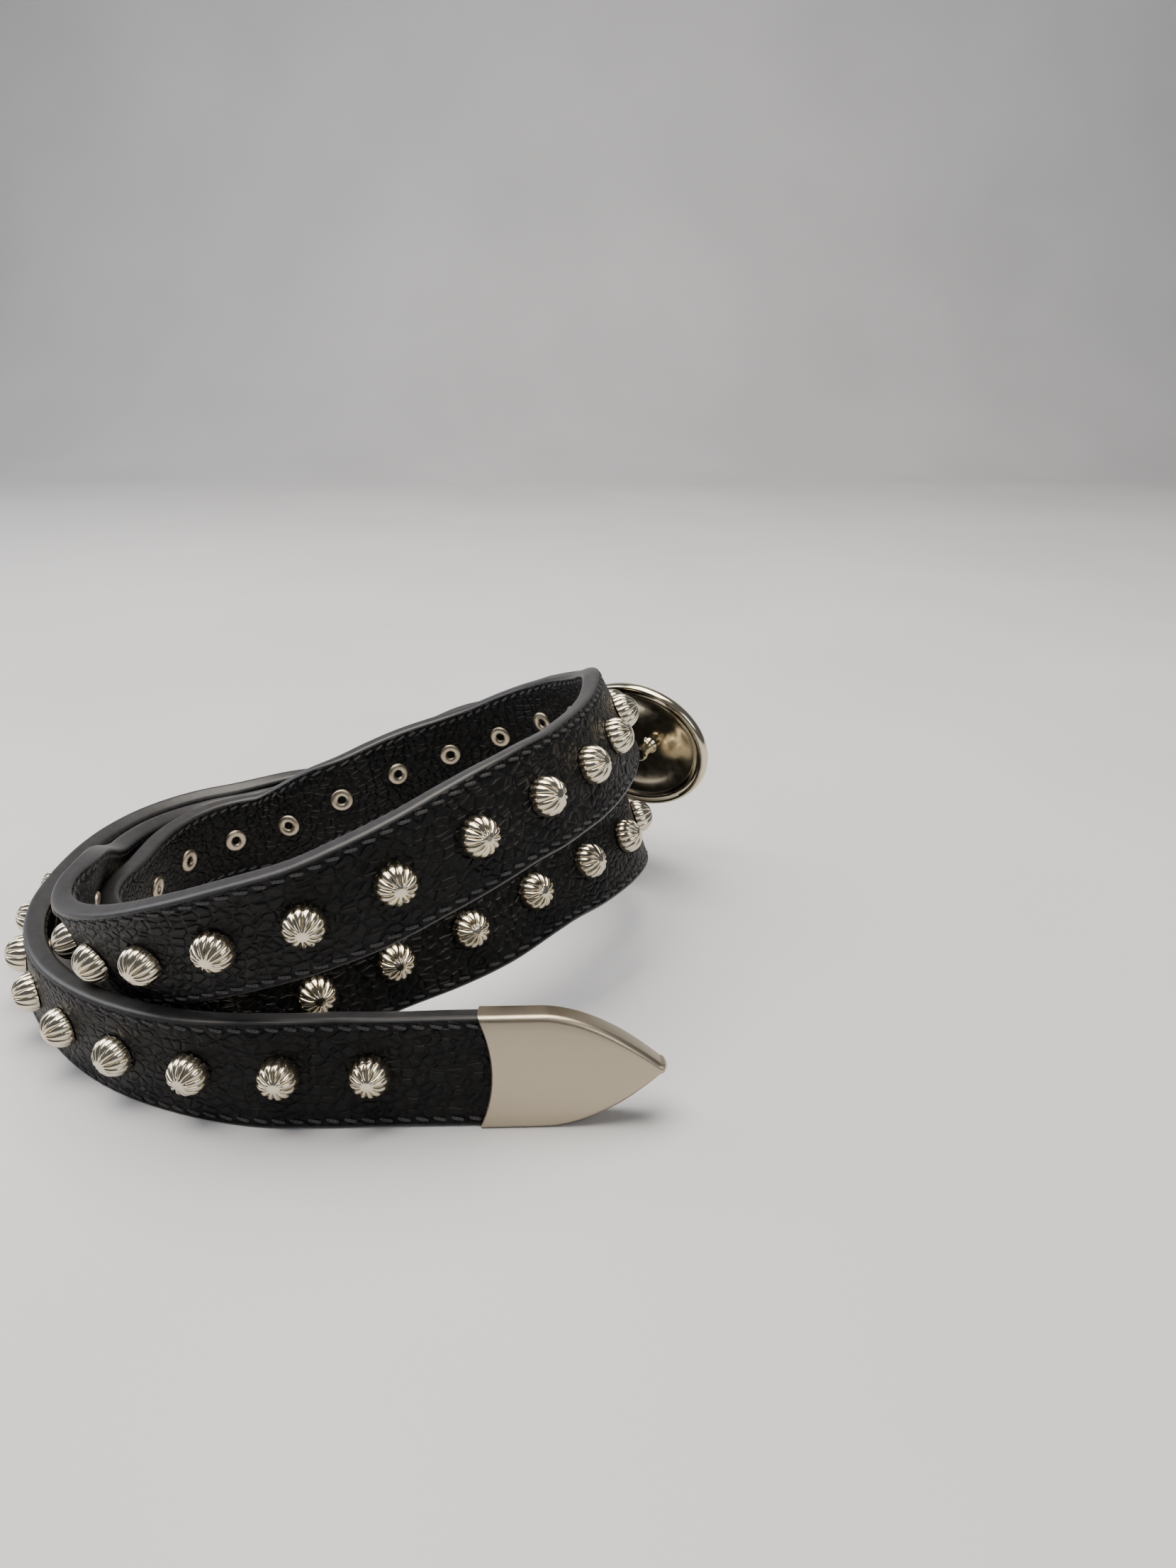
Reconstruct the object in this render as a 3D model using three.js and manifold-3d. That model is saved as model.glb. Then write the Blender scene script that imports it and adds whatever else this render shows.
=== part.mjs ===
import * as THREE from 'three';
import { mergeVertices } from 'three/addons/utils/BufferGeometryUtils.js';
import Module from 'manifold-3d';

// A studded leather belt, loosely coiled and standing on its edge, in millimetres with +Z up.
// The pointed metal tip lies in front. From there the strap runs left, round the back and
// on in nearly three turns, and its other end is folded round the bar of an oval plate buckle.

// Strap
const STRAP_WIDTH = 24;
const STRAP_THICKNESS = 4.7;
const EDGE_ROUND = 1.2;

// Studs and the tubular rivets behind them
const STUD_PITCH = 18;
const STUD_DIAMETER = 9;
const STUD_HEIGHT = 4.8;
const STUD_SIDES = 9;
const HOLE_SIDES = 6;
const STUD_COUNT = 63;
const POST_DIAMETER = 3;
const RIVET_DIAMETER = 6.6;
const RIVET_PROUD = 0.9;
const MOUTH_TO_FIRST_STUD = 24.5;

// Tip cap: a pointed sleeve over the end of the strap
const TIP_LENGTH = 38;
const TIP_THICKNESS = 7.2;
const TIP_WALL = 1.2;
const TIP_OVERHANG = 0.4;
const TIP_MOUTH_HOLLOW = 2.8;
const TIP_EDGE_ROUND = 1.4;
const TONGUE_LENGTH = 14;

// Buckle: an oval plate with a raised rim, a bar for the strap and a post behind it
const BUCKLE_LENGTH = 48;
const BUCKLE_HEIGHT = 40;
const BUCKLE_THICKNESS = 3.4;
const BUCKLE_RIM_WIDTH = 3.4;
const BUCKLE_DISH = 1.4;
const BUCKLE_SIDES = 24;
const BAR_DIAMETER = 4;
const BAR_INSET = 9;
const LUG_THICKNESS = 2.6;
const FASTENING_POST_DIAMETER = 3.6;
const FASTENING_POST_HEIGHT = 6;

// Folded end of the strap
const FOLD_LEATHER = 2.3;
const FOLD_TAB_LENGTH = 15;
const FOLD_STRAIGHT = 18;

// Coil: the oval that the outer turn follows, and the straight run behind the tip
const COIL_WIDTH = 146;
const COIL_DEPTH = 152;
const FRONT_RUN = 76;
const TABLE_DIP = 0.5;

// Clearance between neighbouring pieces
const GAP = 0.3;

// The coil, with a row for each sixteenth or eighth of a turn and a last one where the strap runs
// straight to the buckle. Turn 0 is the front, and turns go round by the left. Reach is a share
// of the oval's half size, lift is how far the strap's lower edge stands over the table as a
// share of STRAP_WIDTH, and lean tips the upper edge outwards, in degrees.
const COIL = [
  { turn: 0, reach: 1.015, lift: 0, lean: -8 },
  { turn: 0.0625, reach: 1.03, lift: 0, lean: 2 },
  { turn: 0.125, reach: 1.05, lift: 0, lean: 4 },
  { turn: 0.25, reach: 1.1, lift: 0, lean: -24 },
  { turn: 0.375, reach: 1.07, lift: 0, lean: -30 },
  { turn: 0.4375, reach: 0.925, lift: 0, lean: -8 },
  { turn: 0.5, reach: 0.915, lift: 0, lean: 29 },
  { turn: 0.5625, reach: 0.91, lift: 0, lean: 42 },
  { turn: 0.625, reach: 0.87, lift: 0.16, lean: 16 },
  { turn: 0.6875, reach: 0.99, lift: 0.5, lean: -13 },
  { turn: 0.75, reach: 0.93, lift: 0.74, lean: -22 },
  { turn: 0.8125, reach: 0.79, lift: 0.77, lean: -22 },
  { turn: 0.875, reach: 0.715, lift: 0.6, lean: -19 },
  { turn: 1.0, reach: 0.78, lift: 0.3, lean: -8 },
  { turn: 1.0625, reach: 0.905, lift: 0, lean: -13 },
  { turn: 1.125, reach: 0.79, lift: 0, lean: -3 },
  { turn: 1.1875, reach: 0.81, lift: 0, lean: 8 },
  { turn: 1.25, reach: 0.81, lift: 0, lean: -8 },
  { turn: 1.375, reach: 0.755, lift: 0, lean: 2 },
  { turn: 1.4375, reach: 0.585, lift: 0.41, lean: 6 },
  { turn: 1.5, reach: 0.655, lift: 0.64, lean: 4 },
  { turn: 1.5625, reach: 0.82, lift: 0.9, lean: -4 },
  { turn: 1.625, reach: 0.905, lift: 1.38, lean: -12 },
  { turn: 1.6875, reach: 0.91, lift: 1.8, lean: -23 },
  { turn: 1.75, reach: 0.9, lift: 2.1, lean: -27 },
  { turn: 1.875, reach: 0.94, lift: 2.02, lean: -19 },
  { turn: 2.0, reach: 1.005, lift: 1.35, lean: 5 },
  { turn: 2.125, reach: 0.95, lift: 0.63, lean: 19 },
  { turn: 2.1875, reach: 0.9, lift: 0.51, lean: -15 },
  { turn: 2.25, reach: 0.935, lift: 0.18, lean: -27 },
  { turn: 2.375, reach: 0.915, lift: 0, lean: -28 },
  { turn: 2.4375, reach: 0.775, lift: 0.06, lean: -14 },
  { turn: 2.5, reach: 0.79, lift: 0.35, lean: 5 },
  { turn: 2.5625, reach: 0.99, lift: 0.83, lean: 11 },
  { turn: 2.6, reach: 1.03, lift: 0.91, lean: -11 },
];

// Studs that face outwards on the coil, as first and last number from the tip. They are
// pieces of their own, and the ones between the turns are one body with the strap.
const OUTER_STUDS = [
  [0, 24],
  [42, 54],
];

const TAU = 2 * Math.PI;
const SAMPLES_PER_TURN = 600;

const wasm = await Module();
wasm.setup();

/** Slopes at the rows that make a curve with no jump in its bend. */
function smoothSlopes(x, y) {
  const last = x.length - 1;
  const step = (i) => x[i + 1] - x[i];
  const rise = (i) => (y[i + 1] - y[i]) / step(i);
  const upper = [0.5];
  const slopes = [1.5 * rise(0)];
  for (let i = 1; i <= last; i += 1) {
    const before = 1 / step(i - 1);
    const after = i < last ? 1 / step(i) : 0;
    const pivot = 2 * (before + after) - before * upper[i - 1];
    const load = 3 * (rise(i - 1) * before + (i < last ? rise(i) * after : 0));
    upper.push(after / pivot);
    slopes.push((load - before * slopes[i - 1]) / pivot);
  }
  for (let i = last - 1; i >= 0; i -= 1) slopes[i] -= upper[i] * slopes[i + 1];
  return slopes;
}

/** Slopes at the rows that make a curve which never swings past its rows. */
function steadySlopes(x, y) {
  const rises = x.slice(1).map((right, i) => (y[i + 1] - y[i]) / (right - x[i]));
  return x.map((_, i) => {
    const before = rises[Math.max(i - 1, 0)];
    const after = rises[Math.min(i, rises.length - 1)];
    return before * after > 0 ? (2 * before * after) / (before + after) : 0;
  });
}

/** A curve through one column of the coil table. */
function curveOf(column, slopesOf) {
  const x = COIL.map((row) => row.turn);
  const y = COIL.map((row) => row[column]);
  const slopes = slopesOf(x, y);
  return (turn) => {
    let i = 0;
    while (i < x.length - 2 && turn > x[i + 1]) i += 1;
    const step = x[i + 1] - x[i];
    const t = (turn - x[i]) / step;
    const u = 1 - t;
    const ends = u * u * (1 + 2 * t) * y[i] + t * t * (1 + 2 * u) * y[i + 1];
    return ends + step * t * u * (u * slopes[i] - t * slopes[i + 1]);
  };
}

/** The strap's centre line and lean, sampled by length from the point of the tip. */
function sampleRoute() {
  const reach = curveOf('reach', smoothSlopes);
  const lift = curveOf('lift', steadySlopes);
  const lean = curveOf('lean', steadySlopes);
  const first = COIL[0].turn;
  const last = COIL[COIL.length - 1].turn;
  const count = Math.ceil((last - first) * SAMPLES_PER_TURN);
  const samples = [];
  for (let i = 0; i <= count; i += 1) {
    const turn = first + ((last - first) * i) / count;
    const tilt = THREE.MathUtils.degToRad(lean(turn));
    const halfEdge = STRAP_THICKNESS / 2 - EDGE_ROUND;
    const toLowerEdge = (STRAP_WIDTH / 2) * Math.cos(tilt) + halfEdge * Math.abs(Math.sin(tilt));
    const point = new THREE.Vector3(
      (-Math.sin(TAU * turn) * reach(turn) * COIL_WIDTH) / 2,
      (-Math.cos(TAU * turn) * reach(turn) * COIL_DEPTH) / 2,
      lift(turn) * STRAP_WIDTH + toLowerEdge - TABLE_DIP,
    );
    samples.push({ point, lean: lean(turn) });
  }
  const heading = samples[1].point.clone().sub(samples[0].point).setZ(0).normalize();
  const tip = samples[0].point.clone().addScaledVector(heading, -FRONT_RUN);
  samples.unshift({ point: tip, lean: samples[0].lean });
  const end = samples[samples.length - 1];
  const leaving = end.point.clone().sub(samples[samples.length - 2].point).normalize();
  const past = FOLD_STRAIGHT + BUCKLE_LENGTH;
  samples.push({ point: end.point.clone().addScaledVector(leaving, past), lean: end.lean });
  samples[0].length = 0;
  for (let i = 1; i < samples.length; i += 1) {
    const step = samples[i].point.distanceTo(samples[i - 1].point);
    samples[i].length = samples[i - 1].length + step;
  }
  return samples;
}

const route = sampleRoute();
const STRAIGHT_AGAIN = route[route.length - 2].length;

/** Centre, lengthwise, upward and outward directions of the strap at a length from the tip. */
function frameAt(length) {
  const where = (at) => {
    let low = 0;
    let high = route.length - 1;
    while (high - low > 1) {
      const middle = (low + high) >> 1;
      if (route[middle].length <= at) low = middle;
      else high = middle;
    }
    const share = (at - route[low].length) / (route[high].length - route[low].length);
    const point = route[low].point.clone().lerp(route[high].point, share);
    return { point, lean: THREE.MathUtils.lerp(route[low].lean, route[high].lean, share) };
  };
  const here = where(length);
  const along = where(length + 0.5).point.sub(where(length - 0.5).point).normalize();
  const upright = new THREE.Vector3(0, 0, 1).addScaledVector(along, -along.z).normalize();
  const sideways = upright.clone().cross(along);
  const lean = THREE.MathUtils.degToRad(here.lean);
  const up = upright.clone().multiplyScalar(Math.cos(lean)).addScaledVector(sideways, Math.sin(lean));
  const out = sideways.clone().multiplyScalar(Math.cos(lean)).addScaledVector(upright, -Math.sin(lean));
  return { point: here.point, along, up, out };
}

/** A matrix whose X runs along the strap, Y out of its face and Z across it. */
function matrixOf(frame, centre = frame.point) {
  const across = frame.along.clone().cross(frame.out);
  return new THREE.Matrix4().makeBasis(frame.along, frame.out, across).setPosition(centre);
}

/** Only positions, with shared corners merged. */
function bare(geometry) {
  geometry.deleteAttribute('normal');
  geometry.deleteAttribute('uv');
  return mergeVertices(geometry, 1e-4);
}

/** Turns a closed geometry into a solid that can be joined and cut. */
function solidOf(geometry) {
  const merged = bare(geometry);
  const position = merged.getAttribute('position');
  const triVerts = new Uint32Array(merged.getIndex().array);
  let volume = 0;
  const corners = [new THREE.Vector3(), new THREE.Vector3(), new THREE.Vector3()];
  for (let i = 0; i < triVerts.length; i += 3) {
    corners.forEach((corner, k) => corner.fromBufferAttribute(position, triVerts[i + k]));
    volume += corners[0].dot(corners[1].clone().cross(corners[2]));
  }
  if (volume < 0) {
    for (let i = 0; i < triVerts.length; i += 3) {
      [triVerts[i], triVerts[i + 1]] = [triVerts[i + 1], triVerts[i]];
    }
  }
  const vertProperties = new Float32Array(position.array);
  return new wasm.Manifold(new wasm.Mesh({ numProp: 3, vertProperties, triVerts }));
}

/** Turns a solid back into a geometry. */
function geometryOf(solid) {
  const mesh = solid.getMesh();
  const geometry = new THREE.BufferGeometry();
  geometry.setAttribute('position', new THREE.BufferAttribute(mesh.vertProperties, 3));
  geometry.setIndex(new THREE.BufferAttribute(mesh.triVerts, 1));
  geometry.computeVertexNormals();
  return geometry;
}

/** A closed body through rings of equally many points, its ends shut by flat fans. */
function loft(rings) {
  const size = rings[0].length;
  const positions = rings.flat().flatMap((point) => [point.x, point.y, point.z]);
  const faces = [];
  for (let r = 0; r < rings.length - 1; r += 1) {
    for (let k = 0; k < size; k += 1) {
      const a = r * size + k;
      const b = r * size + ((k + 1) % size);
      faces.push(a, b, b + size, a, b + size, a + size);
    }
  }
  const top = (rings.length - 1) * size;
  for (let k = 1; k < size - 1; k += 1) {
    faces.push(0, k + 1, k, top, top + k, top + k + 1);
  }
  const geometry = new THREE.BufferGeometry();
  geometry.setAttribute('position', new THREE.Float32BufferAttribute(positions, 3));
  geometry.setIndex(faces);
  return geometry;
}

/** The eight corners of a strap section with its long edges rounded off. */
function strapSection(frame, width, thickness) {
  const round = Math.min(EDGE_ROUND, thickness / 2 - GAP);
  const half = [width / 2, thickness / 2];
  const corners = [
    [half[0] - round, half[1]],
    [half[0], half[1] - round],
    [half[0], -half[1] + round],
    [half[0] - round, -half[1]],
    [-half[0] + round, -half[1]],
    [-half[0], -half[1] + round],
    [-half[0], half[1] - round],
    [-half[0] + round, half[1]],
  ];
  return corners.map(([up, out]) =>
    frame.point.clone().addScaledVector(frame.up, up).addScaledVector(frame.out, out),
  );
}

const FIRST_STUD = TIP_LENGTH - TIP_MOUTH_HOLLOW + MOUTH_TO_FIRST_STUD;
const BAR_PLACE = STRAIGHT_AGAIN + FOLD_STRAIGHT;
const FACET = STUD_PITCH / 2;

/** How far from the tip's point a stud stands, counted from 0. */
function studPlace(number) {
  return FIRST_STUD + number * STUD_PITCH;
}

/** Middle and directions of the flat facet that carries a stud. */
function facetOf(number) {
  const before = frameAt(studPlace(number) - FACET / 2);
  const after = frameAt(studPlace(number) + FACET / 2);
  const point = before.point.clone().lerp(after.point, 0.5);
  const along = after.point.clone().sub(before.point).normalize();
  const out = before.out.clone().add(after.out);
  out.addScaledVector(along, -out.dot(along)).normalize();
  const up = along.clone().cross(out);
  if (up.z < 0) up.negate();
  return { point, along, up, out };
}

/** Where a stud stands: on the facet, with Y out of the strap's face. */
function studSeat(number) {
  const facet = facetOf(number);
  const middle = facet.point.clone().addScaledVector(facet.out, STRAP_THICKNESS / 2);
  return matrixOf(facet, middle);
}

/** One stud as a turned body: fluted cap, post through the strap and rivet head behind. */
function studGeometry() {
  const radius = STUD_DIAMETER / 2;
  const post = POST_DIAMETER / 2;
  const rivet = RIVET_DIAMETER / 2;
  const back = -STRAP_THICKNESS - GAP;
  const profile = [
    [0, STUD_HEIGHT],
    [radius * 0.6, STUD_HEIGHT * 0.84],
    [radius, GAP],
    [post, GAP],
    [post, back],
    [rivet, back],
    [rivet * 0.8, back - RIVET_PROUD],
    [0, back - RIVET_PROUD],
  ];
  const points = profile.map(([r, h]) => new THREE.Vector2(r, h));
  return new THREE.LatheGeometry(points.reverse(), STUD_SIDES);
}

/** Cap and rivet head of a stud that is one body with the strap, as two turned bodies. */
function fusedStudSolids(number) {
  const radius = STUD_DIAMETER / 2;
  const rivet = RIVET_DIAMETER / 2;
  const core = -STRAP_THICKNESS / 2;
  const profiles = [
    [
      [0, STUD_HEIGHT],
      [radius * 0.6, STUD_HEIGHT * 0.84],
      [radius, core],
      [0, core],
    ],
    [
      [0, core],
      [rivet, core],
      [0, -STRAP_THICKNESS - GAP - RIVET_PROUD],
    ],
  ];
  return profiles.map((profile) => {
    const points = profile.map(([r, h]) => new THREE.Vector2(r, h)).reverse();
    return solidOf(new THREE.LatheGeometry(points, STUD_SIDES).applyMatrix4(studSeat(number)));
  });
}

/** The clearance hole of a stud's post through the strap. */
function postHole(number) {
  const radius = (POST_DIAMETER / 2 + GAP) / Math.cos(Math.PI / HOLE_SIDES);
  const hole = new THREE.CylinderGeometry(radius, radius, STRAP_THICKNESS * 2, HOLE_SIDES);
  hole.translate(0, -STRAP_THICKNESS / 2, 0);
  return solidOf(hole.applyMatrix4(studSeat(number)));
}

/** The cap's outline: a concave mouth and two flanks that meet in a point, grown by a margin. */
function tipOutline(margin) {
  const half = STRAP_WIDTH / 2 + TIP_OVERHANG + margin;
  const shape = new THREE.Shape();
  shape.moveTo(-margin, 0);
  shape.quadraticCurveTo(TIP_LENGTH * 0.2, half * 0.78, TIP_LENGTH * 0.6, half);
  shape.lineTo(TIP_LENGTH + margin, half);
  shape.quadraticCurveTo(TIP_LENGTH + margin - TIP_MOUTH_HOLLOW * 2, 0, TIP_LENGTH + margin, -half);
  shape.lineTo(TIP_LENGTH * 0.6, -half);
  shape.quadraticCurveTo(TIP_LENGTH * 0.2, -half * 0.78, -margin, 0);
  return shape;
}

/** The cap without its cavity, its faces' edges rounded, set on the strap's centre line. */
function tipBlank(margin) {
  const flat = TIP_THICKNESS + 2 * margin;
  const geometry = new THREE.ExtrudeGeometry(tipOutline(margin), {
    depth: flat - 2 * TIP_EDGE_ROUND,
    curveSegments: 8,
    bevelEnabled: true,
    bevelThickness: TIP_EDGE_ROUND,
    bevelSize: TIP_EDGE_ROUND,
    bevelOffset: -TIP_EDGE_ROUND,
    bevelSegments: 2,
  });
  geometry.translate(0, 0, -flat / 2 + TIP_EDGE_ROUND);
  geometry.rotateX(-Math.PI / 2);
  return solidOf(geometry.applyMatrix4(matrixOf(frameAt(0))));
}

/** The tongue of the strap in the cap, or with a margin the cavity that takes it. */
function tipTongue(margin, from, to) {
  const width = STRAP_WIDTH - 2 * (TIP_WALL + GAP) + 2 * margin;
  const thickness = TIP_THICKNESS - 2 * (TIP_WALL + GAP) + 2 * margin;
  const box = new THREE.BoxGeometry(to - from, thickness, width);
  box.translate((from + to) / 2, 0, 0);
  return solidOf(box.applyMatrix4(matrixOf(frameAt(0))));
}

/** The oval plate, lying with its outer face along +Y and its middle at the origin. */
function bucklePlate() {
  const outer = BUCKLE_LENGTH / 2;
  const inner = outer - BUCKLE_RIM_WIDTH;
  const half = BUCKLE_THICKNESS / 2;
  const profile = [
    [0, half],
    [inner, half * 0.82],
    [outer - 1, half * 0.5],
    [outer, 0],
    [outer - 1, -half],
    [inner, -half],
    [inner - 1, -half + BUCKLE_DISH],
    [0, -half + BUCKLE_DISH],
  ];
  const points = profile.map(([r, h]) => new THREE.Vector2(r, h)).reverse();
  const plate = new THREE.LatheGeometry(points, BUCKLE_SIDES);
  return solidOf(plate.scale(1, 1, BUCKLE_HEIGHT / BUCKLE_LENGTH));
}

const BAR_DROP = STRAP_THICKNESS / 2 - FOLD_LEATHER - GAP - BAR_DIAMETER / 2;

/** Buckle as one soldered body: plate, bar between two lugs and a plain fastening post. */
function buckleSolid() {
  const plateRise = STRAP_THICKNESS / 2 + GAP + BUCKLE_THICKNESS / 2;
  const middle = BUCKLE_LENGTH / 2 - BAR_INSET;
  let solid = bucklePlate().translate([middle, plateRise, 0]);
  const lugOut = STRAP_WIDTH / 2 + GAP + LUG_THICKNESS / 2;
  const bar = new THREE.CylinderGeometry(
    BAR_DIAMETER / 2,
    BAR_DIAMETER / 2,
    2 * lugOut,
    STUD_SIDES,
  );
  solid = solid.add(solidOf(bar.rotateX(Math.PI / 2).translate(0, BAR_DROP, 0)));
  const lugBottom = BAR_DROP - BAR_DIAMETER / 2;
  const lugTop = plateRise;
  for (const side of [-1, 1]) {
    const lug = new THREE.BoxGeometry(BAR_DIAMETER, lugTop - lugBottom, LUG_THICKNESS);
    solid = solid.add(solidOf(lug.translate(0, (lugTop + lugBottom) / 2, side * lugOut)));
  }
  const postTop = plateRise - BUCKLE_THICKNESS / 2 + BUCKLE_DISH;
  const post = new THREE.CylinderGeometry(
    FASTENING_POST_DIAMETER / 2,
    FASTENING_POST_DIAMETER / 2,
    FASTENING_POST_HEIGHT,
    STUD_SIDES,
  );
  const postMiddle = postTop - FASTENING_POST_HEIGHT / 2 + GAP;
  solid = solid.add(solidOf(post.translate(middle + BAR_INSET / 2, postMiddle, 0)));
  return solid.transform(matrixOf(frameAt(BAR_PLACE)).elements);
}

/** The strap's end folded round the bar, with its tab turned back on the inner face. */
function foldedEnd() {
  const eye = BAR_DIAMETER / 2 + GAP + FOLD_LEATHER;
  const face = STRAP_THICKNESS / 2;
  const shape = new THREE.Shape();
  shape.moveTo(-FOLD_STRAIGHT / 2, face);
  shape.lineTo(0, face);
  shape.absarc(0, BAR_DROP, eye, Math.PI / 2, -Math.PI / 2, true);
  shape.lineTo(-eye, -face - FOLD_LEATHER);
  shape.lineTo(-FOLD_TAB_LENGTH, -face - FOLD_LEATHER);
  shape.lineTo(-FOLD_TAB_LENGTH, -face + GAP);
  shape.lineTo(-FOLD_STRAIGHT, -face + GAP);
  shape.lineTo(-FOLD_STRAIGHT, face - GAP);
  shape.lineTo(-FOLD_STRAIGHT / 2, face - GAP);
  const hole = new THREE.Path();
  hole.absarc(0, BAR_DROP, BAR_DIAMETER / 2 + GAP, 0, TAU, false);
  shape.holes.push(hole);
  const geometry = new THREE.ExtrudeGeometry(shape, {
    depth: STRAP_WIDTH,
    curveSegments: 8,
    bevelEnabled: false,
  });
  geometry.translate(0, 0, -STRAP_WIDTH / 2);
  return solidOf(geometry.applyMatrix4(matrixOf(frameAt(BAR_PLACE))));
}

/** Whether a stud faces outwards and so is a piece of its own. */
function isOuterStud(number) {
  return OUTER_STUDS.some(([first, last]) => number >= first && number <= last);
}

/** The strap with its holes, folded end, tongue and the studs between its turns. */
function strapSolid() {
  const rings = [];
  const tailEnd = TIP_LENGTH * 0.7;
  rings.push(strapSection(frameAt(tailEnd), STRAP_WIDTH, STRAP_THICKNESS));
  for (let number = 0; studPlace(number) + FACET < STRAIGHT_AGAIN; number += 1) {
    const facet = facetOf(number);
    for (const side of [-1, 1]) {
      const point = facet.point.clone().addScaledVector(facet.along, (side * FACET) / 2);
      rings.push(strapSection({ ...facet, point }, STRAP_WIDTH, STRAP_THICKNESS));
    }
  }
  for (const length of [STRAIGHT_AGAIN, BAR_PLACE - BAR_DIAMETER]) {
    rings.push(strapSection(frameAt(length), STRAP_WIDTH, STRAP_THICKNESS));
  }
  let solid = solidOf(loft(rings)).subtract(tipBlank(GAP));
  solid = solid.add(tipTongue(0, TIP_LENGTH - TONGUE_LENGTH, TIP_LENGTH));
  solid = solid.add(foldedEnd());
  for (let number = 0; number < STUD_COUNT; number += 1) {
    if (isOuterStud(number)) {
      solid = solid.subtract(postHole(number));
    } else {
      for (const part of fusedStudSolids(number)) solid = solid.add(part);
    }
  }
  return onTable(solid);
}

/** Cuts off flat what dips under the table's surface. */
function onTable(solid) {
  const size = 2 * (COIL_WIDTH + COIL_DEPTH);
  const below = new THREE.BoxGeometry(size, size, size).translate(0, 0, -size / 2);
  return solid.subtract(solidOf(below));
}

/** The cap with the cavity for the strap's tongue. */
function tipSolid() {
  const cavity = tipTongue(GAP, TIP_LENGTH - TONGUE_LENGTH - GAP, TIP_LENGTH + GAP);
  return onTable(tipBlank(0).subtract(cavity));
}

const leather = new THREE.MeshStandardMaterial({ color: 0x17171a, roughness: 0.62, metalness: 0 });
const polished = new THREE.MeshStandardMaterial({ color: 0xd8d4c8, roughness: 0.18, metalness: 1 });
const satin = new THREE.MeshStandardMaterial({ color: 0xb5aea3, roughness: 0.38, metalness: 1 });

const belt = new THREE.Group();

/** Adds a named piece to the belt. */
function addPiece(name, geometry, material) {
  const mesh = new THREE.Mesh(geometry, material);
  mesh.name = name;
  belt.add(mesh);
  return mesh;
}

addPiece('strap', geometryOf(strapSolid()), leather);
addPiece('tip_cap', geometryOf(tipSolid()), satin);
addPiece('buckle', geometryOf(buckleSolid()), satin);

const stud = geometryOf(solidOf(studGeometry()));
for (let number = 0; number < STUD_COUNT; number += 1) {
  if (isOuterStud(number)) {
    const name = `stud_${String(number + 1).padStart(2, '0')}`;
    const mesh = addPiece(name, stud, polished);
    mesh.applyMatrix4(studSeat(number));
  }
}

const box = new THREE.Box3().setFromObject(belt);
const middle = box.getCenter(new THREE.Vector3());
belt.position.set(-middle.x, -middle.y, 0);

export default belt;
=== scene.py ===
"""Looks of a coiled leather belt with domed studs, a metal tip and an oval plate buckle."""

import logging
import math
from dataclasses import dataclass, field
from enum import Enum
from typing import Any, Callable, Sequence

import bpy
import numpy as np
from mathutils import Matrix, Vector


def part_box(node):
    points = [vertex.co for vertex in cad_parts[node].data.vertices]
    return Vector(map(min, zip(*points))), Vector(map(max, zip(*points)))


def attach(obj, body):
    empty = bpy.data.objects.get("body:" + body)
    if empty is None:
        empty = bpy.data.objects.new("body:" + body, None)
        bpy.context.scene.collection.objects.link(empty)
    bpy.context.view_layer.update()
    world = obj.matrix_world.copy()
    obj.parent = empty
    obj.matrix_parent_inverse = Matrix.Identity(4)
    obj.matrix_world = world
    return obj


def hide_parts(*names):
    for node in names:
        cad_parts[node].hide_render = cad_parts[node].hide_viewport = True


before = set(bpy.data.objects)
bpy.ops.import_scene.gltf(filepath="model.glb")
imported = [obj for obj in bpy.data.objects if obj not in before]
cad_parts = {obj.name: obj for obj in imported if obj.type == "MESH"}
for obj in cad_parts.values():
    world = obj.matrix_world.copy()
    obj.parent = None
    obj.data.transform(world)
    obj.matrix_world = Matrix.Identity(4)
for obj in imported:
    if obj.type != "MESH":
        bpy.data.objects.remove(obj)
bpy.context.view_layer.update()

log = logging.getLogger("belt")

MM = 0.001
TAU = 2 * math.pi
BODY = "root"
MM_ATTRIBUTE = "belt_mm"

Array = np.ndarray
Faces = list[tuple[int, ...]]


class Slot(Enum):
    """Material slots of the record."""

    LEATHER = "leather"
    STUD_METAL = "stud_metal"
    SATIN_NICKEL = "satin_nickel"


class StrapFace(Enum):
    """The two broad faces of the strap, as a sign along its outward direction."""

    OUTER = 1
    INNER = -1


def linear(code: str) -> tuple[float, float, float, float]:
    """Turns an sRGB hex colour to linear light.

    Args:
        code: Six hex digits, such as "1a1a1c".

    Returns:
        Linear red, green, blue and an alpha of 1.
    """
    shares = [int(code[i : i + 2], 16) / 255 for i in (0, 2, 4)]
    red, green, blue = (s / 12.92 if s <= 0.04045 else ((s + 0.055) / 1.055) ** 2.4 for s in shares)
    return (red, green, blue, 1.0)


def add_node(
    material: bpy.types.Material | bpy.types.World,
    kind: str,
    inputs: dict[str | int, Any] | None = None,
    **settings: Any,
) -> bpy.types.Node:
    """Adds a shader node with its settings, and fills or links its inputs.

    Args:
        material: The material or world that the node goes into.
        kind: Blender's name for the node type.
        inputs: Values or output sockets, by the name or number of the input.
        **settings: Properties of the node, by name.

    Returns:
        The new node.
    """
    node = material.node_tree.nodes.new(kind)
    for name, value in settings.items():
        setattr(node, name, value)
    for name, value in (inputs or {}).items():
        if isinstance(value, bpy.types.NodeSocket):
            material.node_tree.links.new(value, node.inputs[name])
        else:
            node.inputs[name].default_value = value
    return node


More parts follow.
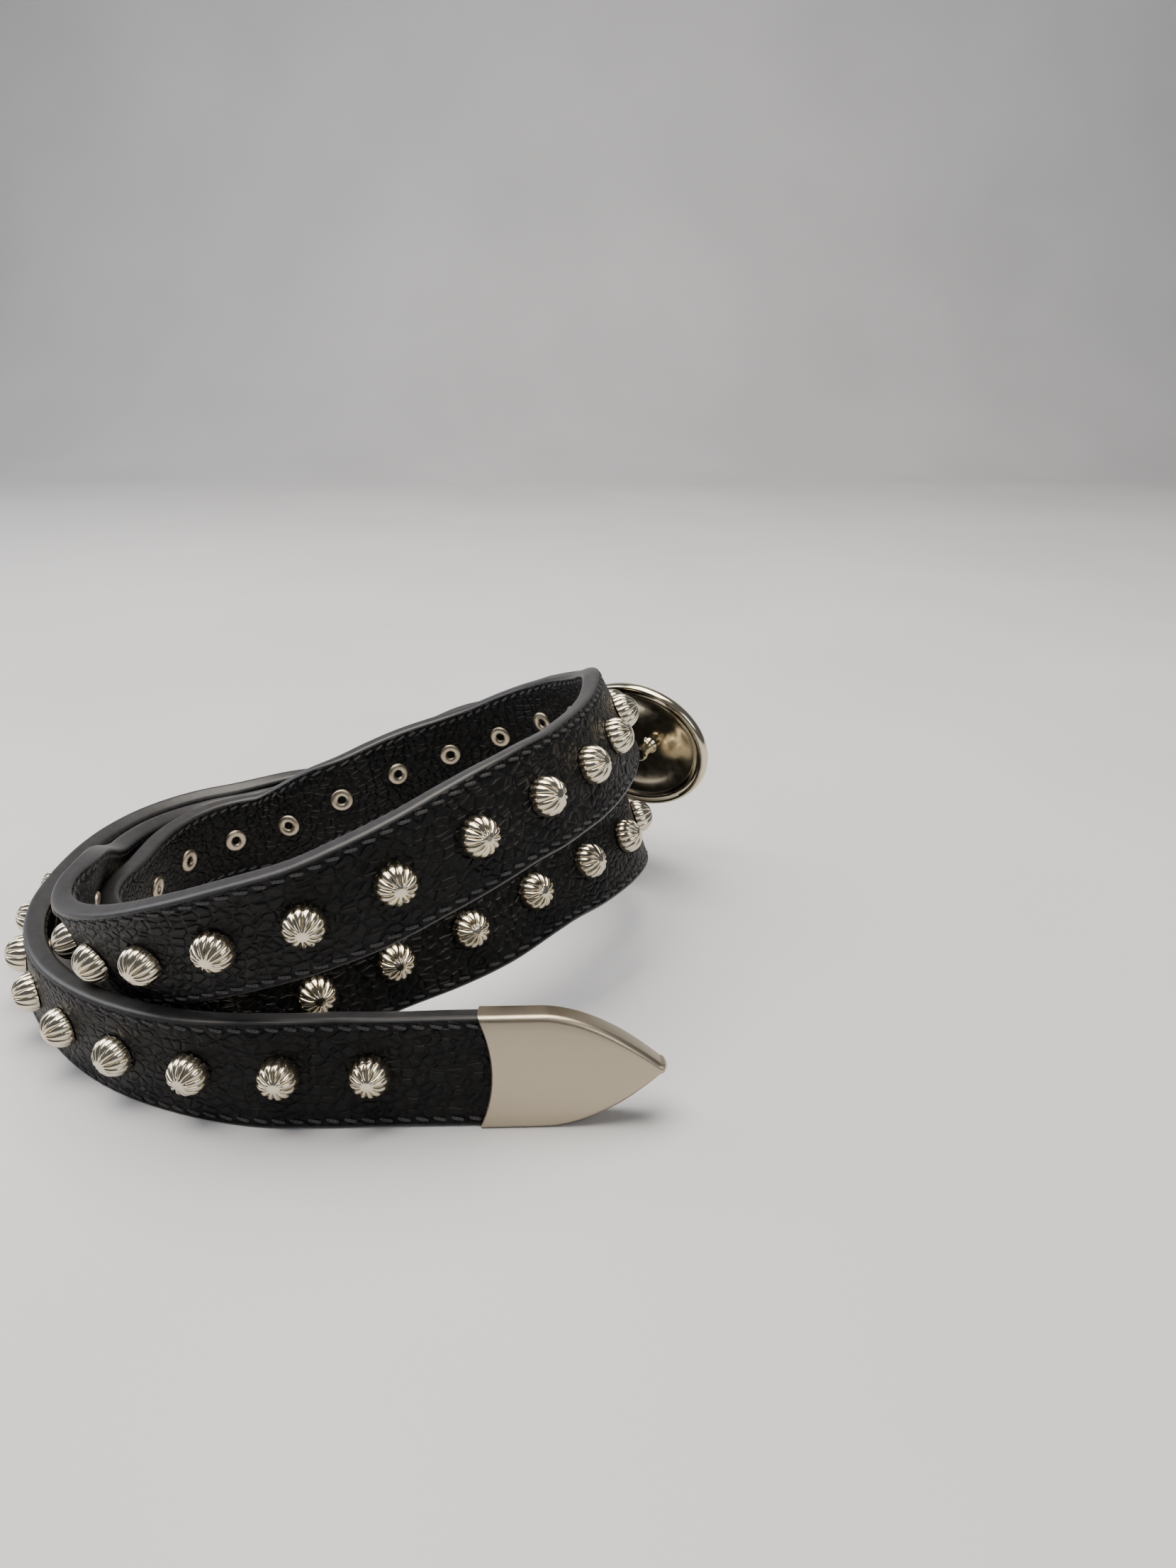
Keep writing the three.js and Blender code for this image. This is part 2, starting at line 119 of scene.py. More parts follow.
def new_material(name: str, **surface: Any) -> tuple[bpy.types.Material, bpy.types.Node]:
    """Makes an empty material with one Principled surface.

    Args:
        name: The material's name.
        **surface: Values for the surface's sockets, with underscores for spaces.

    Returns:
        The material and its Principled node.
    """
    material = bpy.data.materials.new(name)
    material.use_nodes = True
    material.node_tree.nodes.clear()
    inputs = {key.replace("_", " "): value for key, value in surface.items()}
    shader = add_node(material, "ShaderNodeBsdfPrincipled", inputs)
    add_node(material, "ShaderNodeOutputMaterial", {"Surface": shader.outputs["BSDF"]})
    return material, shader


def colour_ramp(
    material: bpy.types.Material,
    factor: bpy.types.NodeSocket,
    stops: Sequence[tuple[float, tuple[float, float, float, float]]],
) -> bpy.types.NodeSocket:
    """Adds a colour ramp.

    Args:
        material: The material that it goes into.
        factor: The socket that drives it.
        stops: Place and colour of each stop, in order.

    Returns:
        The ramp's colour socket.
    """
    ramp = add_node(material, "ShaderNodeValToRGB", {"Fac": factor})
    elements = ramp.color_ramp.elements
    while len(elements) < len(stops):
        elements.new(0.5)
    for element, (place, colour) in zip(elements, stops):
        element.position = place
        element.color = colour
    return ramp.outputs["Color"]


def strap_coordinates(material: bpy.types.Material) -> bpy.types.NodeSocket:
    """The place on the strap in millimetres: along it, across it, and through it."""
    source = add_node(material, "ShaderNodeAttribute", attribute_name=MM_ATTRIBUTE)
    return source.outputs["Vector"]


@dataclass(frozen=True)
class PebbledLeather:
    """Black full-grain leather, drum-milled so that its grain stands up in soft pebbles.

    Each pebble is a low dome with a crease round it, painted darker there as painted shade, and
    only the domes catch the light.
    """

    name: str = "pebbled_leather"
    dome: str = "0b0b0c"
    # Colour of the creases between pebbles: painted shade, darker than the leather's own black.
    painted_crease_shade: str = "030303"
    pebble_mm: float = 1.9
    stretch: float = 1.4
    relief_mm: float = 0.4
    pore_mm: float = 0.35
    pore_relief_mm: float = 0.02
    roughness: float = 0.46

    def build(self) -> bpy.types.Material:
        """Builds the material."""
        material, shader = new_material(self.name, IOR=1.45, Specular_IOR_Level=0.24)
        scale = {"Vector": strap_coordinates(material), "Scale": (1 / self.stretch, 1.0, 1.0)}
        place = add_node(material, "ShaderNodeMapping", scale).outputs["Vector"]
        drift = add_node(
            material,
            "ShaderNodeTexNoise",
            {"Vector": place, "Scale": 0.6 / self.pebble_mm, "Detail": 2.0},
        )
        swing = add_node(
            material,
            "ShaderNodeVectorMath",
            {0: drift.outputs["Color"], 1: (-0.5, -0.5, -0.5)},
            operation="ADD",
        )
        moved = add_node(
            material,
            "ShaderNodeVectorMath",
            {0: swing.outputs["Vector"], 1: (1.0, 1.0, 1.0), 2: place},
            operation="MULTIPLY_ADD",
        )
        cells, small = (
            add_node(
                material,
                "ShaderNodeTexVoronoi",
                {"Vector": moved.outputs["Vector"], "Scale": finer / self.pebble_mm},
                feature="DISTANCE_TO_EDGE",
            )
            for finer in (1.0, 2.3)
        )
        dome = add_node(
            material,
            "ShaderNodeMapRange",
            {"Value": cells.outputs["Distance"], "From Max": 0.24, "To Max": 1.0},
            interpolation_type="SMOOTHSTEP",
        )
        fleck = add_node(
            material,
            "ShaderNodeMapRange",
            {"Value": small.outputs["Distance"], "From Max": 0.22, "To Max": 0.06},
            interpolation_type="SMOOTHSTEP",
        )
        pores = add_node(
            material,
            "ShaderNodeTexNoise",
            {"Vector": place, "Scale": 1 / self.pore_mm, "Detail": 3.0},
        )
        grain = add_node(
            material,
            "ShaderNodeMath",
            {0: dome.outputs["Result"], 1: fleck.outputs["Result"]},
            operation="ADD",
        )
        relief = add_node(
            material,
            "ShaderNodeMath",
            {0: grain.outputs["Value"], 1: self.relief_mm},
            operation="MULTIPLY",
        )
        height = add_node(
            material,
            "ShaderNodeMath",
            {0: pores.outputs["Fac"], 1: self.pore_relief_mm, 2: relief.outputs["Value"]},
            operation="MULTIPLY_ADD",
        )
        bump = add_node(
            material,
            "ShaderNodeBump",
            {"Strength": 1.0, "Distance": MM, "Height": height.outputs["Value"]},
        )
        wear = add_node(
            material,
            "ShaderNodeTexNoise",
            {"Vector": place, "Scale": 0.06, "Detail": 4.0, "Roughness": 0.6},
        )
        # The creases are painted near-black as painted shade; the domes keep the leather's own
        # black.
        stops = ((0.0, linear(self.painted_crease_shade)), (0.75, linear(self.dome)))
        tone = colour_ramp(material, dome.outputs["Result"], stops)
        gloss = add_node(
            material,
            "ShaderNodeMapRange",
            {
                "Value": wear.outputs["Fac"],
                "From Min": 0.3,
                "From Max": 0.7,
                "To Min": self.roughness - 0.06,
                "To Max": self.roughness + 0.08,
            },
        )
        links = material.node_tree.links
        links.new(tone, shader.inputs["Base Color"])
        links.new(gloss.outputs["Result"], shader.inputs["Roughness"])
        links.new(bump.outputs["Normal"], shader.inputs["Normal"])
        return material


@dataclass(frozen=True)
class PaintedEdge:
    """Cut leather edges, sanded round and sealed with a few coats of dark edge paint.

    The paint is smoother than the grain, with slow waves where it ran along the cut.
    """

    name: str = "edge_paint"
    colour: str = "232325"
    worn: str = "303032"
    wave_mm: float = 2.4
    relief_mm: float = 0.05
    roughness: float = 0.42

    def build(self) -> bpy.types.Material:
        """Builds the material."""
        material, shader = new_material(self.name, Roughness=self.roughness, IOR=1.48)
        place = strap_coordinates(material)
        waves = add_node(
            material,
            "ShaderNodeTexNoise",
            {"Vector": place, "Scale": 1 / self.wave_mm, "Detail": 3.0},
        )
        bump = add_node(
            material,
            "ShaderNodeBump",
            {"Strength": self.relief_mm, "Distance": MM, "Height": waves.outputs["Fac"]},
        )
        stops = ((0.35, linear(self.colour)), (0.75, linear(self.worn)))
        links = material.node_tree.links
        links.new(colour_ramp(material, waves.outputs["Fac"], stops), shader.inputs["Base Color"])
        links.new(bump.outputs["Normal"], shader.inputs["Normal"])
        return material


@dataclass(frozen=True)
class WaxedThread:
    """Waxed polyester thread: dull, with its plies showing as fine slanted ridges, their crests
    painted lighter as a painted highlight and their grooves painted darker as shade.
    """

    name: str = "waxed_thread"
    # Colour of the ply crests: a painted highlight.
    light: str = "3c3c3e"
    # Colour of the ply grooves: painted shade.
    dark: str = "2a2a2b"
    ply_mm: float = 0.45
    roughness: float = 0.62

    def build(self) -> bpy.types.Material:
        """Builds the material."""
        material, shader = new_material(self.name, Roughness=self.roughness)
        place = strap_coordinates(material)
        plies = add_node(
            material,
            "ShaderNodeTexWave",
            {"Vector": place, "Scale": TAU / 20 / self.ply_mm, "Distortion": 0.4},
            wave_type="BANDS",
            bands_direction="DIAGONAL",
        )
        bump = add_node(
            material,
            "ShaderNodeBump",
            {"Strength": 0.08, "Distance": MM, "Height": plies.outputs["Fac"]},
        )
        # Ply crests are painted lighter as a painted highlight and the grooves darker as painted
        # shade, in step with the bump.
        stops = ((0.1, linear(self.dark)), (0.9, linear(self.light)))
        links = material.node_tree.links
        links.new(colour_ramp(material, plies.outputs["Fac"], stops), shader.inputs["Base Color"])
        links.new(bump.outputs["Normal"], shader.inputs["Normal"])
        return material


@dataclass(frozen=True)
class Nickel:
    """Nickel plate over brass, tumbled bright or brushed to a satin.

    Plating evens out the casting, so what shows is a slow ripple and a fine brushed or
    handled roughness. The real scratches are too fine to show, so they are drawn coarser.
    """

    name: str
    colour: str
    roughness: float
    spread: float
    scratch_mm: float
    stretch: tuple[float, float, float]
    relief_mm: float

    def build(self) -> bpy.types.Material:
        """Builds the material."""
        material, shader = new_material(self.name, Base_Color=linear(self.colour), Metallic=1.0)
        place = add_node(material, "ShaderNodeTexCoord").outputs["Object"]
        turned = add_node(
            material,
            "ShaderNodeMapping",
            {"Vector": place, "Scale": tuple(s / (self.scratch_mm * MM) for s in self.stretch)},
        )
        scratches = add_node(
            material,
            "ShaderNodeTexNoise",
            {"Vector": turned.outputs["Vector"], "Scale": 1.0, "Detail": 4.0, "Roughness": 0.6},
        )
        haze = add_node(
            material,
            "ShaderNodeMapRange",
            {
                "Value": scratches.outputs["Fac"],
                "From Min": 0.3,
                "From Max": 0.7,
                "To Min": self.roughness - self.spread,
                "To Max": self.roughness + self.spread,
            },
        )
        bump = add_node(
            material,
            "ShaderNodeBump",
            {"Strength": self.relief_mm, "Distance": MM, "Height": scratches.outputs["Fac"]},
        )
        links = material.node_tree.links
        links.new(haze.outputs["Result"], shader.inputs["Roughness"])
        links.new(bump.outputs["Normal"], shader.inputs["Normal"])
        return material


@dataclass(frozen=True)
class StudioPaper:
    """Matte off-white backdrop paper with a barely uneven tone."""

    name: str = "backdrop_paper"
    colour: str = "d2d3d6"
    shade: str = "cacbce"

    def build(self) -> bpy.types.Material:
        """Builds the material."""
        material, shader = new_material(self.name, Roughness=0.6)
        place = add_node(material, "ShaderNodeTexCoord").outputs["Object"]
        tone = add_node(material, "ShaderNodeTexNoise", {"Vector": place, "Scale": 6.0})
        stops = ((0.3, linear(self.shade)), (0.7, linear(self.colour)))
        colour = colour_ramp(material, tone.outputs["Fac"], stops)
        material.node_tree.links.new(colour, shader.inputs["Base Color"])
        return material


LEATHER = PebbledLeather().build()
EDGE_PAINT = PaintedEdge().build()
THREAD = WaxedThread().build()
POLISHED_NICKEL = Nickel("polished_nickel", "d9cfb9", 0.16, 0.04, 0.5, (1, 1, 1), 0.004).build()
SATIN_NICKEL = Nickel("satin_nickel", "b5aa96", 0.36, 0.03, 0.35, (0.3, 1, 1), 0.006).build()
BRIGHT_NICKEL = Nickel("bright_nickel", "d2c8b0", 0.13, 0.04, 2.0, (1, 1, 1), 0.008).build()


@dataclass
class Shape:
    """One closed body: corners in millimetres, and faces with a material number for each."""

    points: Array
    faces: Faces
    paints: list[int] = field(default_factory=list)
    coordinates: Array | None = None

    def moved(self, place: Callable[[Array], Array]) -> "Shape":
        """The same body with its corners put through a function."""
        return Shape(place(self.points), self.faces, self.paints, self.coordinates)


def join(shapes: Sequence[Shape]) -> Shape:
    """Joins bodies into one list of corners and faces.

    Args:
        shapes: The bodies, which stay separate shells.

    Returns:
        One shape with all of them.
    """
    points: list[Array] = []
    faces: Faces = []
    paints: list[int] = []
    coordinates: list[Array] = []
    start = 0
    for shape in shapes:
        points.append(shape.points)
        faces.extend(tuple(start + k for k in face) for face in shape.faces)
        paints.extend(shape.paints or [0] * len(shape.faces))
        known = shape.coordinates
        coordinates.append(known if known is not None else np.zeros_like(shape.points))
        start += len(shape.points)
    return Shape(np.concatenate(points), faces, paints, np.concatenate(coordinates))


def make_piece(
    name: str,
    shape: Shape,
    materials: Sequence[bpy.types.Material],
    slot: Slot,
    nodes: Sequence[str] = (),
) -> bpy.types.Object:
    """Makes a smooth-shaded piece that rides on the belt's one body.

    Args:
        name: The piece's name.
        shape: Its corners and faces, in millimetres.
        materials: Its materials, in the order of the shape's numbers.
        slot: The record's slot for the piece's finish. Not used.
        nodes: The CAD nodes that it stands for.

    Returns:
        The new object.
    """
    mesh = bpy.data.meshes.new(name)
    mesh.from_pydata((shape.points * MM).tolist(), [], shape.faces)
    for material in materials:
        mesh.materials.append(material)
    if shape.paints:
        mesh.polygons.foreach_set("material_index", shape.paints)
    if shape.coordinates is not None:
        layer = mesh.attributes.new(MM_ATTRIBUTE, "FLOAT_VECTOR", "POINT")
        layer.data.foreach_set("vector", shape.coordinates.astype(np.float32).ravel())
    mesh.shade_smooth()
    mesh.set_sharp_from_angle(angle=math.radians(50))
    mesh.update()
    piece = bpy.data.objects.new(name, mesh)
    bpy.context.scene.collection.objects.link(piece)
    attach(piece, BODY)
    if nodes:
        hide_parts(*nodes)
    log.info("%s: %d faces", name, len(shape.faces))
    return piece


def grid_faces(rings: int, size: int) -> Faces:
    """Quads between rings of equally many corners.

    Args:
        rings: How many rings there are.
        size: Corners in each ring, which closes on itself.

    Returns:
        The faces.
    """
    faces: Faces = []
    for r in range(rings - 1):
        for k in range(size):
            a = r * size + k
            b = r * size + (k + 1) % size
            faces.append((a, b, b + size, a + size))
    return faces


def tube_faces(rings: int, size: int, flip: bool = False) -> Faces:
    """Quads between rings of equally many corners, and a face over each end.

    Args:
        rings: How many rings there are.
        size: Corners in each ring.
        flip: Whether the faces look the other way.

    Returns:
        The faces, the two ends last.
    """
    faces = grid_faces(rings, size)
    faces.append(tuple(range(size))[::-1])
    faces.append(tuple(range((rings - 1) * size, rings * size)))
    return [face[::-1] for face in faces] if flip else faces


def mirrored(quarter: Sequence[tuple[float, float]]) -> Array:
    """A whole section from one quarter of it.

    Args:
        quarter: Out and up of each corner, from the middle of a face to the middle of an edge.

    Returns:
        Out and up of each corner of the section.
    """
    upper = list(quarter) + [(-o, u) for o, u in reversed(quarter)]
    return np.array(upper + [(-o, -u) for o, u in upper[1:-1]])


def rounded_loop(
    width: float, thick: float, round_: float, flats: int = 12, arcs: int = 6
) -> Array:
    """One round of a flat section with rounded edges.

    Args:
        width: Half its width.
        thick: Half its thickness.
        round_: Radius of its edges, where there is room for it.
        flats: Spans across each face.
        arcs: Spans round each quarter of an edge.

    Returns:
        Out and across of each corner, starting at the middle of the outer face.
    """
    radius = min(round_, width * 0.98, thick * 0.98)
    face = [(thick, u) for u in np.linspace(0, width - radius, flats // 2 + 1)]
    turn = np.linspace(0, math.pi / 2, arcs + 1)[1:]
    corner = [
        (thick - radius * (1 - math.cos(a)), width - radius * (1 - math.sin(a))) for a in turn
    ]
    return mirrored(face + corner)


def turned(profile: Sequence[tuple[float, float]], sides: int, paint: int = 0) -> Shape:
    """A turned body about the Y axis, from a profile that starts and ends on the axis.

    Args:
        profile: Radius and height of each point, from the top of the axis to its bottom.
        sides: How many flats it has round it.
        paint: The material number of its faces.

    Returns:
        A closed body.
    """
    angles = np.linspace(0, TAU, sides, endpoint=False)
    middle = np.array(profile[1:-1])
    rings = np.stack(
        [
            middle[:, :1] * np.cos(angles),
            np.repeat(middle[:, 1:], sides, axis=1),
            middle[:, :1] * np.sin(angles),
        ],
        axis=-1,
    ).reshape(-1, 3)
    ends = np.array([[0, profile[0][1], 0], [0, profile[-1][1], 0]])
    faces = [face[::-1] for face in grid_faces(len(middle), sides)]
    top, bottom = len(rings), len(rings) + 1
    last = (len(middle) - 1) * sides
    for k in range(sides):
        after = (k + 1) % sides
        faces.append((top, after, k))
        faces.append((bottom, last + k, last + after))
    return Shape(np.concatenate([rings, ends]), faces, [paint] * len(faces))


@dataclass
class Frames:
    """Places on the strap's centre line with their directions, one row for each."""

    point: Array
    along: Array
    up: Array
    out: Array

    def place(self, local: Array) -> Array:
        """Puts local places into the belt's frame.

        Args:
            local: Distances along, out of and up the strap for each corner of each frame, as
                an array of frames by corners by 3, or corners by 3 for one frame.

        Returns:
            The places, one row for each corner.
        """
        local = local if local.ndim == 3 else local[None]
        spots = (
            self.point[:, None]
            + self.along[:, None] * local[..., :1]
            + self.out[:, None] * local[..., 1:2]
            + self.up[:, None] * local[..., 2:3]
        )
        return spots.reshape(-1, 3)


@dataclass
class Coil:
    """The strap's route: an oval coil in polar form, with a straight run at each end.

    Turn 0 is the front, and turns go round by the left. Reach is a share of the oval's half
    size, lift is how far the lower edge stands over the table as a share of the strap's width,
    and lean tips the upper edge outwards. The rows match those of the solids.
    """

    strap_width: float = 24.0
    strap_thickness: float = 4.7
    edge_round: float = 1.2
    width: float = 146.0
    depth: float = 152.0
    front_run: float = 76.0
    table_dip: float = 0.5
    fold_straight: float = 18.0
    past_bar: float = 48.0
    tip_length: float = 38.0
    tip_hollow: float = 2.8
    mouth_to_first_stud: float = 24.5
    stud_pitch: float = 18.0
    stud_middle: float = 1.8
    outer_studs: tuple[tuple[int, int], ...] = ((0, 24), (42, 54))
    samples_per_turn: int = 600
    rows: tuple[tuple[float, float, float, float], ...] = (
        (0, 1.015, 0, -8),
        (0.0625, 1.03, 0, 2),
        (0.125, 1.05, 0, 4),
        (0.25, 1.1, 0, -24),
        (0.375, 1.07, 0, -30),
        (0.4375, 0.925, 0, -8),
        (0.5, 0.915, 0, 29),
        (0.5625, 0.91, 0, 42),
        (0.625, 0.87, 0.16, 16),
        (0.6875, 0.99, 0.5, -13),
        (0.75, 0.93, 0.74, -22),
        (0.8125, 0.79, 0.77, -22),
        (0.875, 0.715, 0.6, -19),
        (1.0, 0.78, 0.3, -8),
        (1.0625, 0.905, 0, -13),
        (1.125, 0.79, 0, -3),
        (1.1875, 0.81, 0, 8),
        (1.25, 0.81, 0, -8),
        (1.375, 0.755, 0, 2),
        (1.4375, 0.585, 0.41, 6),
        (1.5, 0.655, 0.64, 4),
        (1.5625, 0.82, 0.9, -4),
        (1.625, 0.905, 1.38, -12),
        (1.6875, 0.91, 1.8, -23),
        (1.75, 0.9, 2.1, -27),
        (1.875, 0.94, 2.02, -19),
        (2.0, 1.005, 1.35, 5),
        (2.125, 0.95, 0.63, 19),
        (2.1875, 0.9, 0.51, -15),
        (2.25, 0.935, 0.18, -27),
        (2.375, 0.915, 0, -28),
        (2.4375, 0.775, 0.06, -14),
        (2.5, 0.79, 0.35, 5),
        (2.5625, 0.99, 0.83, 11),
        (2.6, 1.03, 0.91, -11),
    )

    def __post_init__(self) -> None:
        """Samples the route, and shifts it to where the solids' studs stand."""
        self._sample()
        numbers = [n for first, last in self.outer_studs for n in range(first, last + 1)]
        found = [sum(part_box(f"stud_{n + 1:02d}"), Vector()) / 2 for n in numbers]
        seats = self.frames(np.array([self.stud_place(n) for n in numbers]))
        middle = seats.place(np.tile([[[0.0, self.stud_middle, 0.0]]], (len(numbers), 1, 1)))
        shift = np.mean(np.array(found) / MM - middle, axis=0)
        self.shift = np.array([shift[0], shift[1], 0.0])
        self._points = self._points + self.shift
        log.info("coil shifted by %.2f, %.2f mm", shift[0], shift[1])

    def _curve(self, column: int, smooth: bool, turns: Array) -> Array:
        """A cubic curve through one column of the rows.

        Args:
            column: The column's number.
            smooth: Whether its bend has no jumps, or else it never swings past its rows.
            turns: Where it is wanted.

        Returns:
            The column's values there.
        """
        table = np.array(self.rows, float)
        x, y = table[:, 0], table[:, column]
        step = np.diff(x)
        rise = np.diff(y) / step
        count = len(x)
        if smooth:
            system = np.zeros((count, count))
            load = np.zeros(count)
            system[0, :2] = (2, 1)
            load[0] = 3 * rise[0]
            system[-1, -2:] = (1, 2)
            load[-1] = 3 * rise[-1]
            for i in range(1, count - 1):
                before, after = 1 / step[i - 1], 1 / step[i]
                system[i, i - 1 : i + 2] = (before, 2 * (before + after), after)
                load[i] = 3 * (rise[i - 1] * before + rise[i] * after)
            slopes = np.linalg.solve(system, load)
        else:
            before = np.concatenate([rise[:1], rise])
            after = np.concatenate([rise, rise[-1:]])
            total = before + after
            level = before * after <= 0
            slopes = np.where(level, 0, 2 * before * after / np.where(level, 1, total))
        i = np.clip(np.searchsorted(x, turns, side="left") - 1, 0, count - 2)
        t = (turns - x[i]) / step[i]
        u = 1 - t
        ends = u * u * (1 + 2 * t) * y[i] + t * t * (1 + 2 * u) * y[i + 1]
        return ends + step[i] * t * u * (u * slopes[i] - t * slopes[i + 1])

    def _sample(self) -> None:
        """Works out the centre line and lean, by length from the point of the tip."""
        first, last = self.rows[0][0], self.rows[-1][0]
        turns = np.linspace(first, last, math.ceil((last - first) * self.samples_per_turn) + 1)
        reach = self._curve(1, True, turns)
        lift = self._curve(2, False, turns)
        lean = self._curve(3, False, turns)
        tilt = np.radians(lean)
        half_edge = self.strap_thickness / 2 - self.edge_round
        to_edge = self.strap_width / 2 * np.cos(tilt) + half_edge * np.abs(np.sin(tilt))
        points = np.stack(
            [
                -np.sin(TAU * turns) * reach * self.width / 2,
                -np.cos(TAU * turns) * reach * self.depth / 2,
                lift * self.strap_width + to_edge - self.table_dip,
            ],
            axis=-1,
        )
        heading = points[1] - points[0]
        heading[2] = 0
        heading /= np.linalg.norm(heading)
        leaving = points[-1] - points[-2]
        leaving /= np.linalg.norm(leaving)
        start = points[0] - heading * self.front_run
        end = points[-1] + leaving * (self.fold_straight + self.past_bar)
        self._points = np.concatenate([[start], points, [end]])
        self._leans = np.concatenate([lean[:1], lean, lean[-1:]])
        steps = np.linalg.norm(np.diff(self._points, axis=0), axis=1)
        self._lengths = np.concatenate([[0.0], np.cumsum(steps)])

    @property
    def straight_again(self) -> float:
        """Length at which the strap runs straight towards the buckle."""
        return float(self._lengths[-2])

    @property
    def bar_place(self) -> float:
        """Length at which the buckle's bar lies."""
        return self.straight_again + self.fold_straight

    def stud_place(self, number: int) -> float:
        """How far from the tip's point a stud stands, counted from 0."""
        first = self.tip_length - self.tip_hollow + self.mouth_to_first_stud
        return first + number * self.stud_pitch

    def _points_at(self, lengths: Array) -> Array:
        """Places on the centre line."""
        columns = [np.interp(lengths, self._lengths, self._points[:, k]) for k in range(3)]
        return np.stack(columns, axis=-1)

    def frames(self, lengths: Array, reach: float = 0.5) -> Frames:
        """Places and directions of the strap.

        Args:
            lengths: Lengths from the tip's point.
            reach: How far to either side the direction along the strap is taken.

        Returns:
            One frame for each length.
        """
        along = self._points_at(lengths + reach) - self._points_at(lengths - reach)
        along /= np.linalg.norm(along, axis=1)[:, None]
        upright = np.array([0, 0, 1.0]) - along * along[:, 2:]
        upright /= np.linalg.norm(upright, axis=1)[:, None]
        sideways = np.cross(upright, along)
        lean = np.radians(np.interp(lengths, self._lengths, self._leans))[:, None]
        up = upright * np.cos(lean) + sideways * np.sin(lean)
        out = sideways * np.cos(lean) - upright * np.sin(lean)
        return Frames(self._points_at(lengths), along, up, out)


